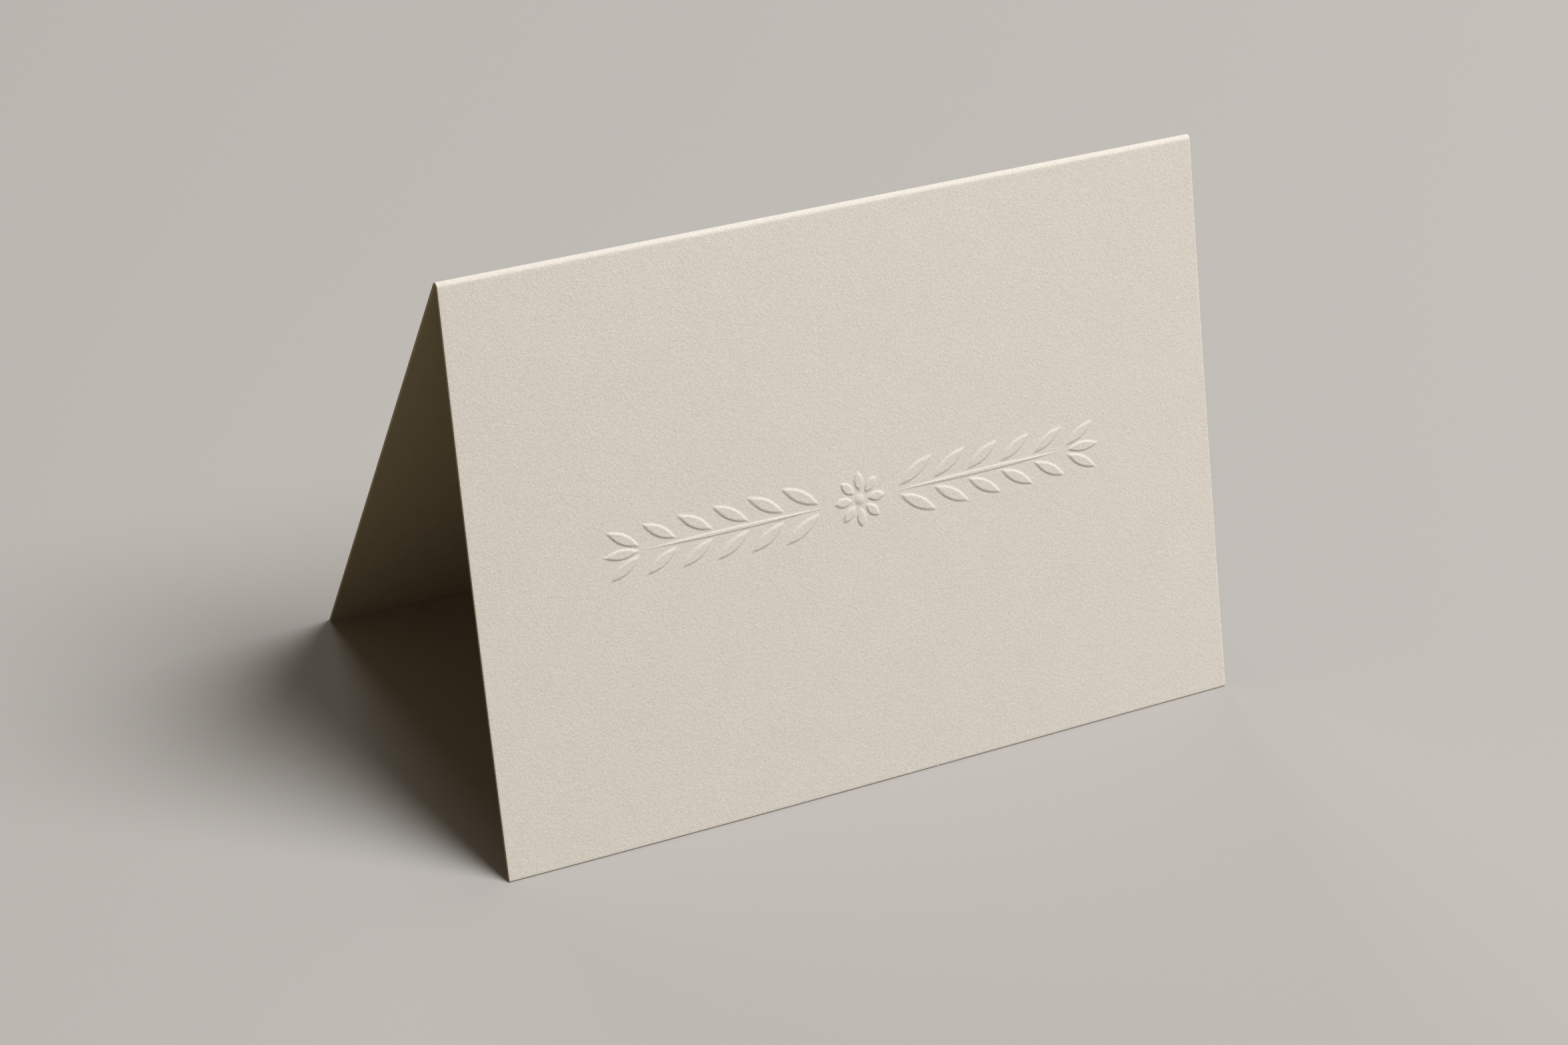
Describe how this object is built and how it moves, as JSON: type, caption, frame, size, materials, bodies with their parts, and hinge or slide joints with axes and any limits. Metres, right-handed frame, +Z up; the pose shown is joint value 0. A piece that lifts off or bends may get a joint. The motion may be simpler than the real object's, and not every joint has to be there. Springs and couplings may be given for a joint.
{
  "type": "greeting card",
  "caption": "Folded greeting card of thick cream cotton paper, standing as a tent on its lower edges, with a blind embossed laurel band across the front panel.",
  "frame": {"origin": "on the table, under the middle of the fold, at the centre of the card's footprint", "axes": "+X along the fold, to the right as seen from the front; -Y towards the embossed front panel; +Z up"},
  "size_m": [0.148, 0.0804, 0.0973],
  "materials": {
    "cotton_paper": "matt, uncoated and cream, with a fine felt tooth"
  },
  "bodies": {
    "root": {"card": "cotton_paper"}
  },
  "joints": []
}
